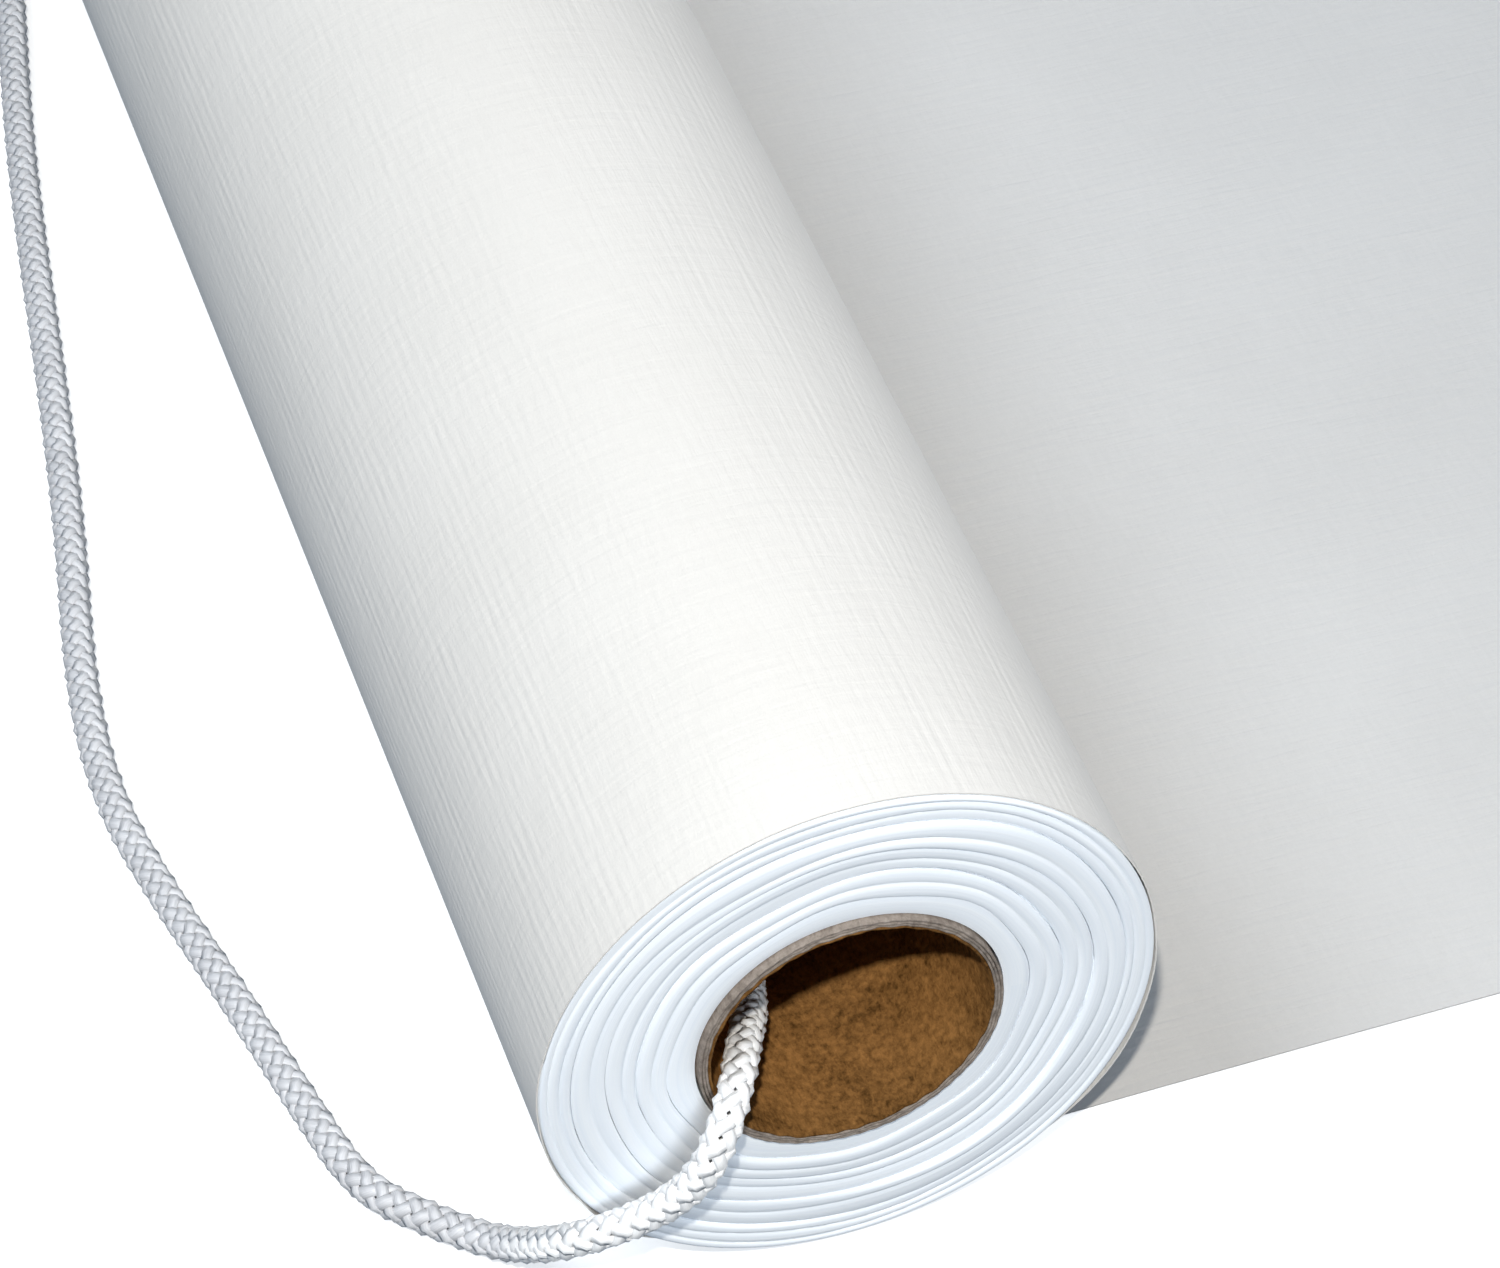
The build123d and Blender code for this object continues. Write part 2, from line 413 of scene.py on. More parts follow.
def mesh_piece(name, points, quads, uvs, material, caps=None, creased=True):
    """A piece from its points, its quads and the UV of each quad corner, and the flat caps that close it,
    one row of points each. Its faces are turned outwards, and its steep edges show if it is creased."""
    if caps is None:
        caps = np.empty((0, 4), int)
    if signed_volume(points, quads) < 0:
        quads = quads[:, ::-1]
        uvs = uvs[:, ::-1]
        caps = caps[:, ::-1]
    corners = np.concatenate([quads.ravel(), caps.ravel()])
    starts = np.concatenate([np.arange(0, quads.size, 4), quads.size + np.arange(len(caps)) * caps.shape[1]])
    smooth = np.arange(len(starts)) < len(quads)
    mesh = bpy.data.meshes.new(name)
    mesh.vertices.add(len(points))
    mesh.vertices.foreach_set("co", points.astype(np.float32).ravel())
    mesh.loops.add(len(corners))
    mesh.loops.foreach_set("vertex_index", corners.astype(np.int32))
    mesh.polygons.add(len(starts))
    mesh.polygons.foreach_set("loop_start", starts.astype(np.int32))
    mesh.polygons.foreach_set("use_smooth", smooth)
    mesh.update(calc_edges=True)
    if creased:
        mesh.set_sharp_from_angle(angle=CREASE_ANGLE)
    layer = mesh.uv_layers.new(name="UVMap")
    cap_uvs = np.zeros(caps.size * 2)
    layer.data.foreach_set("uv", np.concatenate([uvs.ravel(), cap_uvs]).astype(np.float32))
    mesh.materials.append(material)
    piece = bpy.data.objects.new(name, mesh)
    bpy.context.scene.collection.objects.link(piece)
    return piece


def end_caps(rows, sides, base=0):
    """The two caps of a tube made of rings of points, as rows of point numbers."""
    ring = np.arange(sides)
    return np.stack([base + ring[::-1], base + (rows - 1) * sides + ring])


def closed_skin(name, x, y, under, thickness, material):
    """A thin sheet over a grid of places, from its underside's height, closed all round its edge. Its UV map
    is its place on the floor."""
    rows, columns = x.shape
    bottom = np.stack([x, y, under], -1).reshape(-1, 3)
    top = np.stack([x, y, under + thickness], -1).reshape(-1, 3)
    quads, _, _ = grid(rows, columns)
    number = np.arange(rows * columns).reshape(rows, columns)
    rim = np.concatenate([number[:, 0], number[-1, 1:], number[-2::-1, -1], number[0, -2:0:-1]])
    after = np.roll(rim, -1)
    count = rows * columns
    sides = np.stack([rim, rim + count, after + count, after], -1)
    points = np.concatenate([bottom, top])
    all_quads = np.concatenate([quads, quads[:, ::-1] + count, sides[:, ::-1]])
    return mesh_piece(name, points, all_quads, points[all_quads][:, :, :2], material)


def revolved(name, radius, along, material, round_first=False):
    """A closed ring of a piece about the core's axis. radius and along have a row for each point of its
    outline and a column for each step round. The UV map runs over the outline in U and round the ring in V,
    or the other way about with round_first."""
    rows, columns = radius.shape
    angles = np.linspace(0, FULL_TURN, columns, endpoint=False)
    points = np.stack([
        radius * np.cos(angles),
        along,
        axis_height + radius * np.sin(angles),
    ], -1).reshape(-1, 3)
    quads, corner_rows, corner_columns = grid(rows, columns, True, True)
    radius_steps = np.diff(radius[:, 0], prepend=radius[-1, 0])
    along_steps = np.diff(along[:, 0], prepend=along[-1, 0])
    outline = np.hypot(radius_steps, along_steps)
    outline[0] = 0
    reach = np.append(np.cumsum(outline), outline.sum())
    u = reach[corner_rows]
    v = corner_columns * FULL_TURN / columns * radius.mean()
    uvs = np.stack([v, u] if round_first else [u, v], -1)
    return mesh_piece(name, points, quads, uvs, material)


def ripple(angles, waves, size):
    """A smooth closed curve round the roll: a few random waves, about size high."""
    total = np.zeros_like(angles)
    for wave in waves:
        height = size * rng.normal(0, 1) / math.sqrt(len(waves))
        total += height * np.cos(wave * angles + rng.uniform(0, FULL_TURN))
    return total


# ================================================================ cord
def spline_points(route, resolution):
    """Points along the smooth NURBS line that the route controls."""
    data = bpy.data.curves.new("route", "CURVE")
    data.dimensions = "3D"
    spline = data.splines.new("NURBS")
    spline.points.add(len(route) - 1)
    for point, place in zip(spline.points, route):
        point.co = (*place, 1)
    spline.order_u = 3
    spline.use_endpoint_u = True
    spline.resolution_u = resolution
    curve = bpy.data.objects.new("route", data)
    bpy.context.scene.collection.objects.link(curve)
    bpy.context.view_layer.update()
    line = bpy.data.meshes.new_from_object(curve)
    points = np.array([vertex.co for vertex in line.vertices])
    bpy.data.objects.remove(curve)
    bpy.data.meshes.remove(line)
    return points


def even_points(points, step):
    """The same line with its points about one step apart."""
    lengths = np.append(0, np.cumsum(np.linalg.norm(np.diff(points, axis=0), axis=1)))
    count = max(8, round(lengths[-1] / step) + 1)
    places = np.linspace(0, lengths[-1], count)
    return np.stack([np.interp(places, lengths, points[:, axis]) for axis in range(3)], -1), places


def sides_along(points):
    """Two directions square to a line at each of its points, which turn no more than the line does."""
    ahead = np.gradient(points, axis=0)
    ahead /= np.linalg.norm(ahead, axis=1)[:, None]
    first = np.zeros_like(points)
    start = np.cross(ahead[0], (0.3, 0.2, 1.0))
    first[0] = start / np.linalg.norm(start)
    for index in range(1, len(points)):
        turned = first[index - 1] - ahead[index] * np.dot(first[index - 1], ahead[index])
        first[index] = turned / np.linalg.norm(turned)
    return first, np.cross(ahead, first)


STRANDS_EACH_WAY = 4
STRAND_SIDES = 5
LAY = 11.0 * MM                 # length of cord in which a strand goes once round
SAMPLES_PER_LAY = 14
STRAND_WIDTH = 1.90 * MM
STRAND_THICKNESS = 1.1 * MM
WEAVE_HEIGHT = 0.30 * MM        # how far a strand rises over another and dips under the next
STRAND_UV_OFFSET = 0.11         # keeps one strand's filaments from matching the next one's
LINE_RESOLUTION = 12            # points that a short cord's line has to each control point


def strand(centre, first, second, places, start_angle, way, radius):
    """One flat strand wound about a line, over one crossing strand and under the next."""
    turn = FULL_TURN / LAY * places
    angle = start_angle + way * turn
    outward = first * np.cos(angle)[:, None] + second * np.sin(angle)[:, None]
    height = radius + way * WEAVE_HEIGHT * np.cos(STRANDS_EACH_WAY * turn)
    middle = centre + outward * height[:, None]
    ahead = np.gradient(middle, axis=0)
    ahead /= np.linalg.norm(ahead, axis=1)[:, None]
    sideways = np.cross(ahead, outward)
    sideways /= np.linalg.norm(sideways, axis=1)[:, None]
    upward = np.cross(sideways, ahead)
    section = np.arange(STRAND_SIDES) * FULL_TURN / STRAND_SIDES + FULL_TURN / 4
    across = STRAND_WIDTH / 2 * np.cos(section)
    rise = STRAND_THICKNESS / 2 * np.sin(section)
    return middle[:, None] + sideways[:, None] * across[:, None] + upward[:, None] * rise[:, None]


def braid(name, lines, material):
    """A hollow diamond braid along each line: strands wound both ways, over and under each other."""
    step = LAY / SAMPLES_PER_LAY
    radius = cord_diameter / 2 - STRAND_THICKNESS / 2 - WEAVE_HEIGHT * 0.4
    all_points, all_quads, all_uvs, all_caps = [], [], [], []
    base = 0
    for line in lines:
        centre, places = even_points(line, step)
        first, second = sides_along(centre)
        quads, corner_rows, corner_columns = grid(len(centre), STRAND_SIDES, False, True)
        u = corner_columns / STRAND_SIDES * 2 * (STRAND_WIDTH + STRAND_THICKNESS)
        v = corner_rows * step
        for index in range(2 * STRANDS_EACH_WAY):
            way = 1 if index < STRANDS_EACH_WAY else -1
            start_angle = FULL_TURN * index / STRANDS_EACH_WAY
            rings = strand(centre, first, second, places, start_angle, way, radius)
            all_points.append(rings.reshape(-1, 3))
            all_quads.append(quads + base)
            all_uvs.append(np.stack([u, v + index * STRAND_UV_OFFSET], -1))
            all_caps.append(end_caps(len(centre), STRAND_SIDES, base))
            base += len(centre) * STRAND_SIDES
    return mesh_piece(
        name,
        np.concatenate(all_points),
        np.concatenate(all_quads),
        np.concatenate(all_uvs),
        material,
        np.concatenate(all_caps),
        creased=False,
    )


KNOT_TURNS = 3
KNOT_HELIX_RADIUS = 3.9 * MM
KNOT_HELIX_LENGTH = 13.5 * MM
POINTS_PER_TURN = 12
KNOT_OVERLAP = 1 * MM           # how far the knot's own line reaches past it, into the cord
TAIL_BENDS = [                  # a tail's way out: distance from its root, share of its sideways place, rise
    (0, 0.6, 0.6 * MM),
    (4 * MM, 1, 0.2 * MM),
    (10 * MM, 1.03, 0),
    (16 * MM, 0.97, 0),
]
MELTED_TIP_LENGTH = 2.6 * MM
MELTED_TIP_SIDES = 28
MELTED_TIP_ROWS = 14
MELTED_TIP_ROW = 0.2 * MM
MELTED_TIP_LUMPS = 3
MELTED_TIP_LUMP_HEIGHT = 0.05   # of its radius


def add_knot(material):
    """The knot: the cord's two ends meet inside a few turns wound about them."""
    low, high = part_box("pull_cord_knot")
    middle = high.z - KNOT_HELIX_RADIUS - cord_diameter / 2
    lie = CORD_ROUTE[0][2]
    through = [
        (0, low.y - KNOT_OVERLAP, lie),
        (0, low.y / 2, (lie + middle) / 2),
        (0, 0, middle),
        (0, high.y / 2, (lie + middle) / 2),
        (0, high.y + KNOT_OVERLAP, lie),
    ]
    wraps = []
    for number in range(KNOT_TURNS * POINTS_PER_TURN + 1):
        share = number / (KNOT_TURNS * POINTS_PER_TURN)
        angle = FULL_TURN * KNOT_TURNS * share
        y = KNOT_HELIX_LENGTH * (share - 0.5)
        wraps.append((KNOT_HELIX_RADIUS * math.cos(angle), y, middle + KNOT_HELIX_RADIUS * math.sin(angle)))
    lines = [spline_points(through, LINE_RESOLUTION), spline_points(wraps, LINE_RESOLUTION // 2)]
    return braid("pull_cord_knot_wraps", lines, material)


def add_tail(node, material):
    """A short end of the cord that comes out of the knot, with its tip melted so that it can't fray."""
    low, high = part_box(node)
    x = (low.x + high.x) / 2
    z = (low.z + high.z) / 2
    tip, root = (low.y, high.y) if -low.y > high.y else (high.y, low.y)
    ahead = math.copysign(1, tip)
    line = [(x * aside, root + ahead * out, z + rise) for out, aside, rise in TAIL_BENDS]
    line.append((x, tip - ahead * MELTED_TIP_LENGTH / 2, z))
    return braid(node + "_braid", [spline_points(line, LINE_RESOLUTION)], material)


def add_melted_tip(node, material):
    """The smooth, rounded lump at a tail's end."""
    low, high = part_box(node)
    x = (low.x + high.x) / 2
    z = (low.z + high.z) / 2
    tip = low.y if -low.y > high.y else high.y
    ahead = math.copysign(1, tip)
    sides = MELTED_TIP_SIDES
    rows = MELTED_TIP_ROWS
    share = np.linspace(0.02, 0.995, rows)
    lump = cord_diameter / 2 * np.sqrt(1 - share ** 3)
    places = tip - ahead * MELTED_TIP_LENGTH * (1 - share)
    angles = np.arange(sides) * FULL_TURN / sides
    radius = lump[:, None] * (1 + MELTED_TIP_LUMP_HEIGHT * np.cos(MELTED_TIP_LUMPS * angles)[None, :])
    points = np.stack([
        x + radius * np.cos(angles),
        np.repeat(places[:, None], sides, axis=1),
        z + radius * np.sin(angles),
    ], -1).reshape(-1, 3)
    quads, corner_rows, corner_columns = grid(rows, sides, False, True)
    round_tip = corner_columns / sides * FULL_TURN * cord_diameter / 2
    along_tip = corner_rows * MELTED_TIP_ROW
    uvs = np.stack([round_tip, along_tip], -1)
    return mesh_piece(node + "_melted_tip", points, quads, uvs, material, end_caps(rows, sides))


# ================================================================ the wound turns
BUNCH_EDGES = np.array([20.9, 24.4, 28.7, 32.9, 37.4, 41.7]) * MM
BUNCH_STEPS = np.array([0.20, 0.40, 0.22, 0.45, 0.25]) * MM     # how far each bunch stands out
BUNCH_TILTS = np.array([0.15, -0.20, 0.20, -0.25, 0.05]) * MM   # its outer side against its inner side
BUNCH_GROOVES = [[], [0.52], [0.46], [0.42], [0.36, 0.72]]
BAND_RISE = 0.30 * MM           # how far the turns between two grooves bulge
BAND_ROUNDNESS = 2.6            # 2 is a round bulge, and more is flatter with steeper sides
BUNCH_GAP = 0.04 * MM           # on each side of a border
BORDER_RIPPLE = 0.34 * MM
BORDER_CARRIED = 0.6            # how much of a border's shape the next one out keeps
STEP_RIPPLE = 0.12 * MM
GROOVE_RIPPLE = 0.045           # of a bunch's width
BULGE_RIPPLE = 0.10 * MM
FADE_USUAL = 0.8                # how much of its full rise a bulge has: usually, at least and at most
FADE_LEAST = 0.3
FADE_MOST = 1.3
FADE_RIPPLE = 0.35
TURN_COLUMNS = 360
TURN_ROW = 0.11 * MM


def bunch_borders(angles):
    """The radius of each border between two bunches, all the way round."""
    borders = []
    shape = np.zeros_like(angles)
    for number, radius in enumerate(BUNCH_EDGES):
        free = 0 if number in (0, len(BUNCH_EDGES) - 1) else 1
        shape = BORDER_CARRIED * shape + ripple(angles, [1, 2, 3, 5, 6, 8], BORDER_RIPPLE)
        borders.append(radius + free * shape)
    return borders


def bunch_relief(number, across, angles):
    """How far the end of a bunch stands out: a tilted step of a few rounded bands with grooves between."""
    share = across[:, None]
    relief = BUNCH_STEPS[number] + BUNCH_TILTS[number] * (share - 0.5)
    relief = relief + ripple(angles, [1, 2, 3], STEP_RIPPLE)[None, :]
    lines = [np.zeros_like(angles)]
    for groove in BUNCH_GROOVES[number]:
        lines.append(groove + ripple(angles, [1, 2, 4, 7], GROOVE_RIPPLE))
    lines.append(np.ones_like(angles))
    for inner, outer in zip(lines, lines[1:]):
        place = (share - inner) / (outer - inner)
        inside = (place >= 0) & (place <= 1)
        fade = np.clip(FADE_USUAL + ripple(angles, [1, 2, 3], FADE_RIPPLE), FADE_LEAST, FADE_MOST)
        offset = ripple(angles, [1, 2], BULGE_RIPPLE)
        bulge = 1 - np.abs(2 * np.clip(place, 0, 1) - 1) ** BAND_ROUNDNESS
        relief = relief + inside * (bulge * (BAND_RISE * fade + offset)[None, :])
    return relief - BAND_RISE


def add_bunch(number, borders, angles, material):
    """One bunch of turns, as a ring with a relief at each end."""
    inner = borders[number] + BUNCH_GAP
    outer = borders[number + 1] - BUNCH_GAP
    rows = round((BUNCH_EDGES[number + 1] - BUNCH_EDGES[number]) / TURN_ROW)
    across = np.linspace(0, 1, rows)
    radius = inner + across[:, None] * (outer - inner)
    near = -half_width - bunch_relief(number, across, angles)
    far = half_width + bunch_relief(number, across, angles)
    return revolved(
        f"wound_bunch_{number + 1}",
        np.concatenate([radius, radius[::-1]]),
        np.concatenate([near, far[::-1]]),
        material,
    )


RIB_COUNT = 150
RIB_HEIGHT = 0.018 * MM
OUTER_COLUMNS = 8 * RIB_COUNT
OUTER_ROWS = 70
INSIDE_ROWS = 6                 # the hidden inside needs fewer rows
OUTER_THICKNESS = 0.20 * MM
OUTER_SINK = 0.02 * MM          # how far the last turn's rest radius is inside the roll's
OUTER_RIPPLE = 0.06 * MM
SWAY_RIPPLE = 0.05 * MM
SWAY_WAVES = 9                  # radians from the roll's middle to its end
SLACK_PLACES = [                # degrees round, height, spread in radians
    (224, 0.60 * MM, 0.20),
    (330, 0.60 * MM, 0.34),
]
DRIFT_ANGLE = math.radians(268)
DRIFT_SPREAD = 0.42


def ribs(angles, along):
    """Fine ribs along the roll, uneven in height, which fade out and start again."""
    turn = angles[None, :]
    run = along[:, None]
    phase = 1.8 * np.sin(3 * turn + 2.1 * run) + 1.2 * np.sin(7 * turn - 3.3 * run)
    fade = 0.65 + 0.35 * np.sin(17 * run + 3 * np.sin(5 * turn) + 11 * turn)
    return RIB_HEIGHT * fade * np.sin(RIB_COUNT * turn + phase)


def add_outer_turn(material):
    """The last turn, a little slack: it stands off the roll in two places, and low down its edges drift
    along the roll to where the lying sheet's edges are."""
    angles = np.linspace(0, FULL_TURN, OUTER_COLUMNS, endpoint=False)
    along = np.linspace(-1, 1, OUTER_ROWS)
    waves = ripple(angles, [3, 4, 5, 7, 9], OUTER_RIPPLE)
    slack = np.zeros_like(angles)
    for place, height, spread in SLACK_PLACES:
        slack += height * np.exp(-(((angles - math.radians(place)) / spread) ** 2))
    sway = np.sin(along * SWAY_WAVES)[:, None] * ripple(angles, [2, 3, 6], SWAY_RIPPLE)[None, :]
    outside = roll_radius - OUTER_SINK + (np.abs(waves) + slack)[None, :]
    outside = outside + np.abs(sway) + ribs(angles, along)
    kept = np.linspace(0, OUTER_ROWS - 1, INSIDE_ROWS).round().astype(int)
    radius = np.concatenate([outside[kept] - OUTER_THICKNESS, outside[::-1]])
    drift = (laid_high.y + laid_low.y) / 2 * np.exp(-(((angles - DRIFT_ANGLE) / DRIFT_SPREAD) ** 2))
    places = along[:, None] * half_width + drift[None, :]
    both_sides = np.concatenate([places[kept], places[::-1]])
    return revolved("outer_turn", radius, both_sides, material, round_first=True)


# ================================================================ the core
PLY_NAMES = ["core_liner_ply", "core_body_ply_inner", "core_body_ply_outer", "core_outer_ply"]
PLY_COLUMNS = 360
PLY_THICKNESS = 0.35 * MM
PLY_CORNER = 0.08 * MM
TORN_DEPTH = 0.15 * MM          # the torn edge is about this far inside the core's end, and never past it
TORN_RIPPLE = 0.16 * MM


def add_core_ply(node, material):
    """One glued ply of the core, with a slightly torn edge at each end."""
    angles = np.linspace(0, FULL_TURN, PLY_COLUMNS, endpoint=False)
    low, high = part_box(node)
    outer = (high.x - low.x) / 2
    inner = outer - PLY_THICKNESS
    torn = ripple(angles, [1, 2, 3, 7, 12, 19, 31, 43, 57], TORN_RIPPLE)
    end = half_core - TORN_DEPTH + np.minimum(torn, TORN_DEPTH)
    shoulder = end - PLY_CORNER
    outline = [
        (inner, shoulder),
        (inner, -shoulder),
        (inner + PLY_CORNER, -end),
        (outer - PLY_CORNER, -end),
        (outer, -shoulder),
        (outer, shoulder),
        (outer - PLY_CORNER, end),
        (inner + PLY_CORNER, end),
    ]
    radius = np.stack([np.full_like(angles, size) for size, _ in outline])
    along = np.stack([place for _, place in outline])
    return revolved(node + "_board", radius, along, material)


# ================================================================ the laid sheet
LAID_ROWS = 90
LAID_COLUMNS = 520
FOOT_GAP = 0.05 * MM            # the lying sheet keeps this far from the roll, and from its tape
FOOT_DROP = 0.1 * MM            # and lies this much lower under the roll
FREE_FROM = 0.055               # where, from the axis, the sheet is free to cockle
FREE_SPREAD = 0.012
COCKLE_HEIGHT = 0.45 * MM
CRINKLE_HEIGHT = 0.04 * MM
TAPE_STEP_BACK = 1.5 * MM       # the climb onto the tape has its middle this far before the tape
TAPE_STEP_SPREAD = 0.6 * MM


def soft_step(x, middle, spread):
    """A smooth rise from 0 to 1 about the middle."""
    return 1 / (1 + np.exp(-(x - middle) / spread))


def laid_height(x, y):
    """Height of the lying sheet's underside: it follows the roll's foot, cockles and climbs its tape."""
    behind = np.minimum(x, 0)
    follow = axis_height - np.sqrt(np.clip((roll_radius + FOOT_GAP) ** 2 - behind ** 2, 0, None))
    under_roll = np.maximum(follow - sheet_thickness - FOOT_DROP, 0)
    free = soft_step(x, FREE_FROM, FREE_SPREAD)
    cockle = np.sin(x * 31 + 2.1 * np.sin(y * 9)) * np.sin(y * 17 + 1.3 * np.sin(x * 13) + 0.7)
    cockle = COCKLE_HEIGHT * (1 + cockle) * free
    on_tape = soft_step(x, tape_low.x - TAPE_STEP_BACK, TAPE_STEP_SPREAD)
    crinkle = np.sin(y * 720 + 5 * np.sin(x * 40 + y * 60)) * np.sin(x * 90 + y * 210)
    crinkle = CRINKLE_HEIGHT * (1 + crinkle)
    return under_roll + cockle * (1 - on_tape) + crinkle + on_tape * (tape_high.z + FOOT_GAP)


def add_laid_sheet(material):
    """The lying sheet, as a thin closed skin."""
    xs = np.linspace(laid_low.x, laid_high.x, LAID_ROWS)
    ys = np.linspace(laid_low.y, laid_high.y, LAID_COLUMNS)
    x, y = np.meshgrid(xs, ys, indexing="ij")
    return closed_skin("laid_sheet_cloth", x, y, laid_height(x, y), sheet_thickness, material)


LINER_ROWS = 12
LINER_COLUMNS = 300
TAB_LIFT = 1.6 * MM


def add_release_liner(material):
    """The tape's release liner, with the tab that sticks out at the near side curled up a little."""
    low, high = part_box("tape_release_liner")
    xs = np.linspace(low.x, high.x, LINER_ROWS)
    ys = np.linspace(low.y, high.y, LINER_COLUMNS)
    x, y = np.meshgrid(xs, ys, indexing="ij")
    tab = np.clip((laid_low.y - y) / (laid_low.y - low.y), 0, 1)
    lift = TAB_LIFT * tab ** 2 * (1 + 0.3 * np.sin((x - low.x) * 180))
    return closed_skin("release_liner_strip", x, y, lift, high.z - low.z, material)


# ================================================================ light
FAR_SPREAD = math.radians(50)   # the far lamp's beam is narrow, so that it leaves the near end alone
WORLD_STRENGTH = 0.31
WORLD_COLOUR = (0.62, 0.79, 1.0, 1)
WORLD_DARK_TO = -0.80           # how far round to the front, as the direction's Y, the world is dark
WORLD_LIGHT_FROM = -0.15


def add_area(name, place, target, size, power, colour):
    """A round soft lamp that points at a target."""
    data = bpy.data.lights.new(name, "AREA")
    data.shape = "DISK"
    data.size = size
    data.energy = power
    data.color = colour
    lamp = bpy.data.objects.new(name, data)
    bpy.context.scene.collection.objects.link(lamp)
    direction = Vector(target) - Vector(place)
    lamp.location = place
    lamp.rotation_euler = direction.to_track_quat("-Z", "Y").to_euler()
    return lamp


def keep_off(lamp, pieces):
    """Keep a lamp's light off some pieces, as a flag on a stand would."""
    flagged = bpy.data.collections.new(lamp.name + "_flag")
    for piece in pieces:
        flagged.objects.link(piece)
    lamp.light_linking.receiver_collection = flagged
    for entry in flagged.collection_objects:
        entry.light_linking.link_state = "EXCLUDE"


FLOOR_REACH = 30
FLOOR_DROP = 0.05 * MM          # the floor lies a hair below the object


def add_floor():
    """A plain white floor. It gives no light back, so the lamps alone shape the object."""
    mesh = bpy.data.meshes.new("floor")
    corners = [(x * FLOOR_REACH, y * FLOOR_REACH, 0) for x, y in ((-1, -1), (1, -1), (1, 1), (-1, 1))]
    mesh.from_pydata(corners, [], [(0, 1, 2, 3)])
    mesh.materials.append(floor_material())
    floor = bpy.data.objects.new("floor", mesh)
    floor.location.z = -FLOOR_DROP
    floor.visible_diffuse = False
    floor.visible_glossy = False
    bpy.context.scene.collection.objects.link(floor)


def add_world():
    """Dim, cool light from all round but the front, where the studio is dark."""
    world = bpy.data.worlds.new("world")
    world.use_nodes = True
    tree = world.node_tree
    direction = tree.nodes.new("ShaderNodeTexCoord")
    parts = tree.nodes.new("ShaderNodeSeparateXYZ")
    ramp = tree.nodes.new("ShaderNodeMapRange")
    ramp.inputs["From Min"].default_value = WORLD_DARK_TO
    ramp.inputs["From Max"].default_value = WORLD_LIGHT_FROM
    ramp.inputs["To Max"].default_value = WORLD_STRENGTH
    background = tree.nodes["Background"]
    background.inputs["Color"].default_value = WORLD_COLOUR
    tree.links.new(direction.outputs["Generated"], parts.inputs["Vector"])
    tree.links.new(parts.outputs["Y"], ramp.inputs["Value"])
    tree.links.new(ramp.outputs["Result"], background.inputs["Strength"])
    bpy.context.scene.world = world


def add_stage(bore, lying_sheet):
    """Plain white floor and soft studio light, with a harder key above the camera."""
    add_floor()
    add_world()
    near_end = (0, -half_width, axis_height)
    far_end = (0, half_width, axis_height)
    far_middle = (0.12, 0.55, 0)
    add_area("key", (-0.21, -0.99, 0.88), near_end, 0.03, 6.15, (1.0, 0.945, 0.85))
    side = add_area("side", (-0.50, -0.45, 0.92), near_end, 0.5, 3.9, (0.88, 0.94, 1.0))
    right = add_area("right", (0.80, -0.50, 0.55), near_end, 0.6, 3.0, (1.0, 0.99, 0.98))
    front = add_area("front", (-0.15, -1.45, 0.62), near_end, 0.5, 7.8, (0.86, 0.93, 1.0))
    far = add_area("far", (0.12, 0.55, 1.25), far_middle, 0.9, 1.3, (1.0, 0.95, 0.88))
    far.data.spread = FAR_SPREAD
    add_area("back", (0.10, 1.50, 0.50), far_end, 0.6, 4, (0.95, 0.98, 1.0))
    keep_off(side, [bore])
    keep_off(right, [bore, lying_sheet])
    keep_off(front, [bore, lying_sheet])
    bpy.context.scene.view_settings.view_transform = "Standard"


# ================================================================ build
add_camera()

cord_line = spline_points(CORD_ROUTE, 24)
white_cord = cord_material()
cord = braid("pull_cord_braid", [cord_line], white_cord)
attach(cord, "cord_loop")
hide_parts("pull_cord")

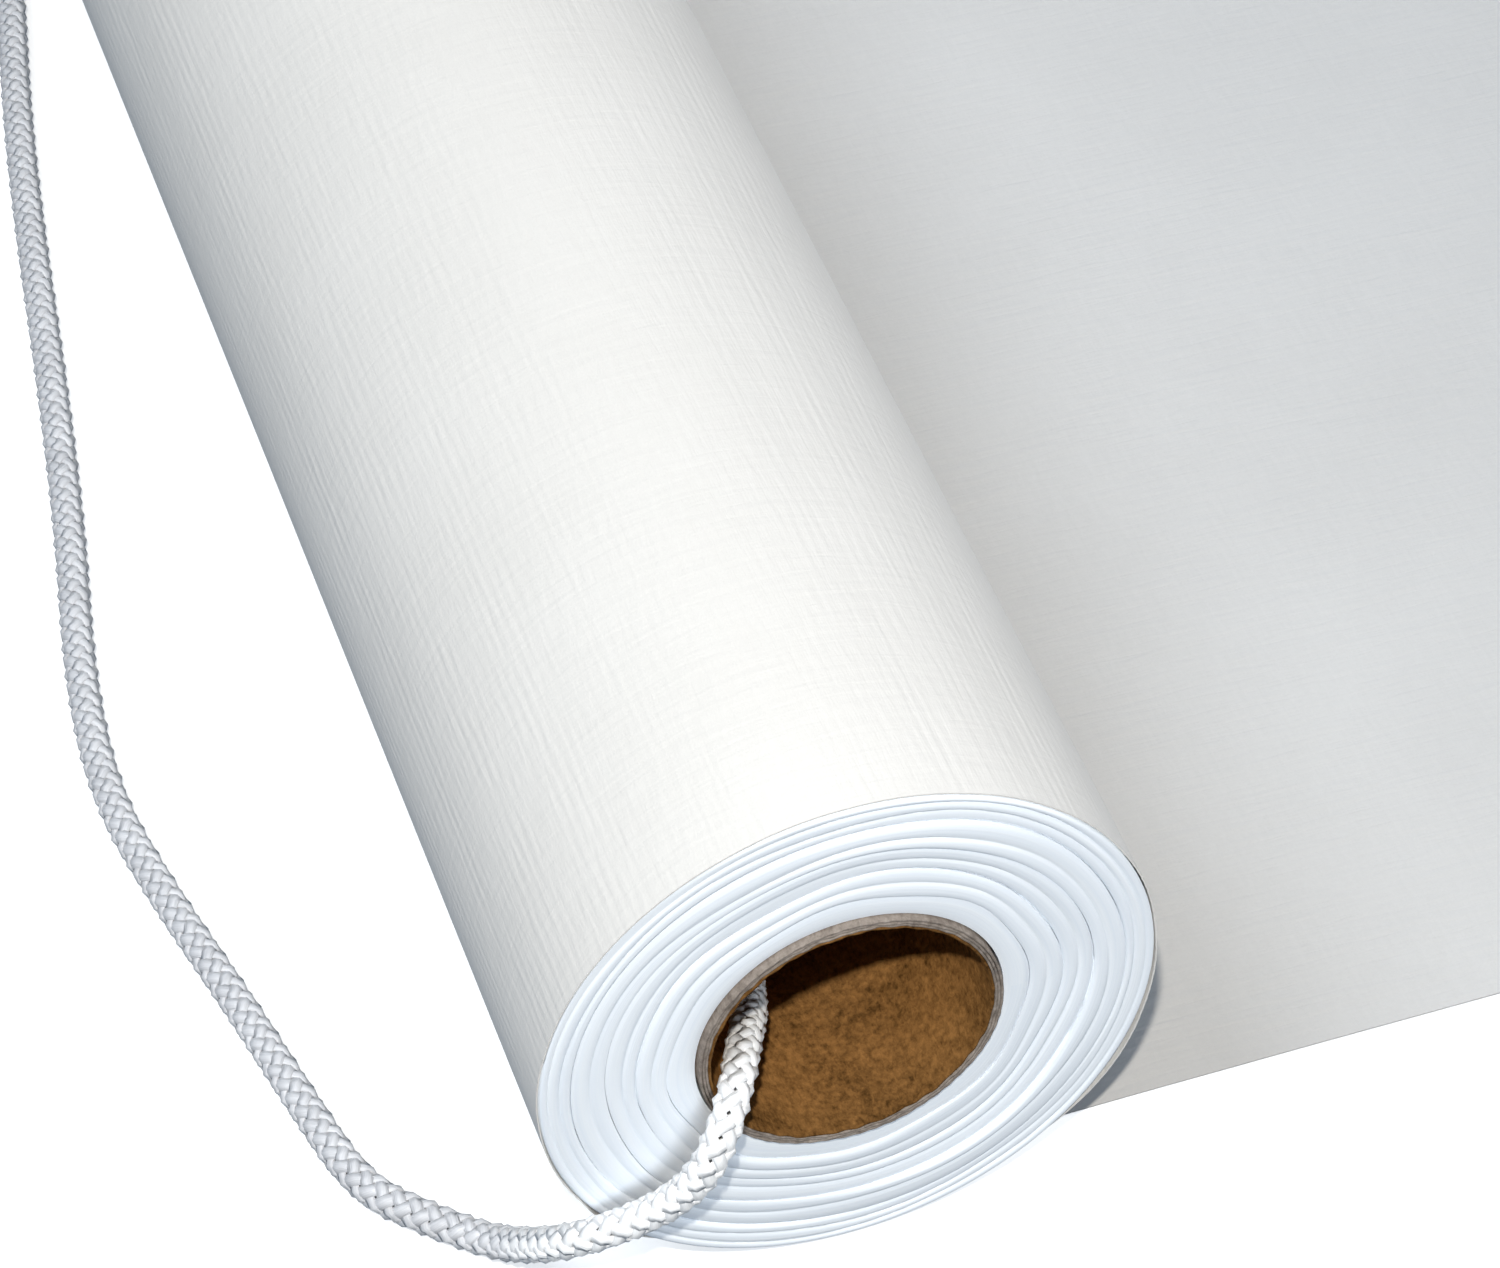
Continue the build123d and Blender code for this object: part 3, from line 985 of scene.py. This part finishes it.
on_the_cord = []
knot = add_knot(white_cord)
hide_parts("pull_cord_knot")
on_the_cord.append(knot)
melted_cord = melted_material()
for node in ("cord_tail_near", "cord_tail_far"):
    tail = add_tail(node, white_cord)
    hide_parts(node)
    on_the_cord += [tail, add_melted_tip(node, melted_cord)]
for piece in on_the_cord:
    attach(piece, "cord_loop")

# painted light: the wound and the lying sheet are one sheet in two colours. The lying copy is painted
# lighter than the wound one, standing in for the light of the lamps kept off it.
roll_cloth = sheet_material(
    "ribbed_sheet_wound", "UVMap", 0.95, 0.55, (0.703, 0.675, 0.636), (0.769, 0.741, 0.703)
)
laid_cloth = sheet_material(
    "ribbed_sheet_laid", "Object", 0.35, 1.3, (0.835, 0.820, 0.805), (0.905, 0.892, 0.878)
)
turn_edges = turns_material()
round_angles = np.linspace(0, FULL_TURN, TURN_COLUMNS, endpoint=False)
borders = bunch_borders(round_angles)
for number in range(len(BUNCH_STEPS)):
    bunch = add_bunch(number, borders, round_angles, turn_edges)
    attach(bunch, "roll")
    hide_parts(f"wound_turns_{number + 1}")

outer_turn = add_outer_turn(roll_cloth)
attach(outer_turn, "roll")
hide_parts("outer_wrap")

inner_kraft = kraft_material("kraft_inside", (0.10, 0.046, 0.010), (0.50, 0.250, 0.080))
board_kraft = kraft_material("kraft_board", (0.15, 0.12, 0.10), (0.36, 0.31, 0.27))
plies = {}
for node in PLY_NAMES:
    ply = add_core_ply(node, inner_kraft if node == "core_liner_ply" else board_kraft)
    plies[node] = ply
    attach(ply, "roll")
    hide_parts(node)

laid = add_laid_sheet(laid_cloth)
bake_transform(laid)
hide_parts("laid_sheet")

masking = plain_paper_material("masking_tape", (0.52, 0.40, 0.20), (0.66, 0.54, 0.32), 0.6)
adhesive = plain_paper_material("double_sided_tape", (0.62, 0.60, 0.52), (0.74, 0.72, 0.64), 0.4)
release = plain_paper_material("release_liner", (0.55, 0.62, 0.66), (0.68, 0.74, 0.77), 0.35)
liner = add_release_liner(release)
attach(liner, "laid_run")
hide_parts("tape_release_liner")
for node, material in (
    ("start_tape_near", masking),
    ("start_tape_middle", masking),
    ("start_tape_far", masking),
    ("leading_edge_tape", adhesive),
):
    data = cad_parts[node].data
    data.materials.clear()
    data.materials.append(material)

add_stage(plies["core_liner_ply"], laid)
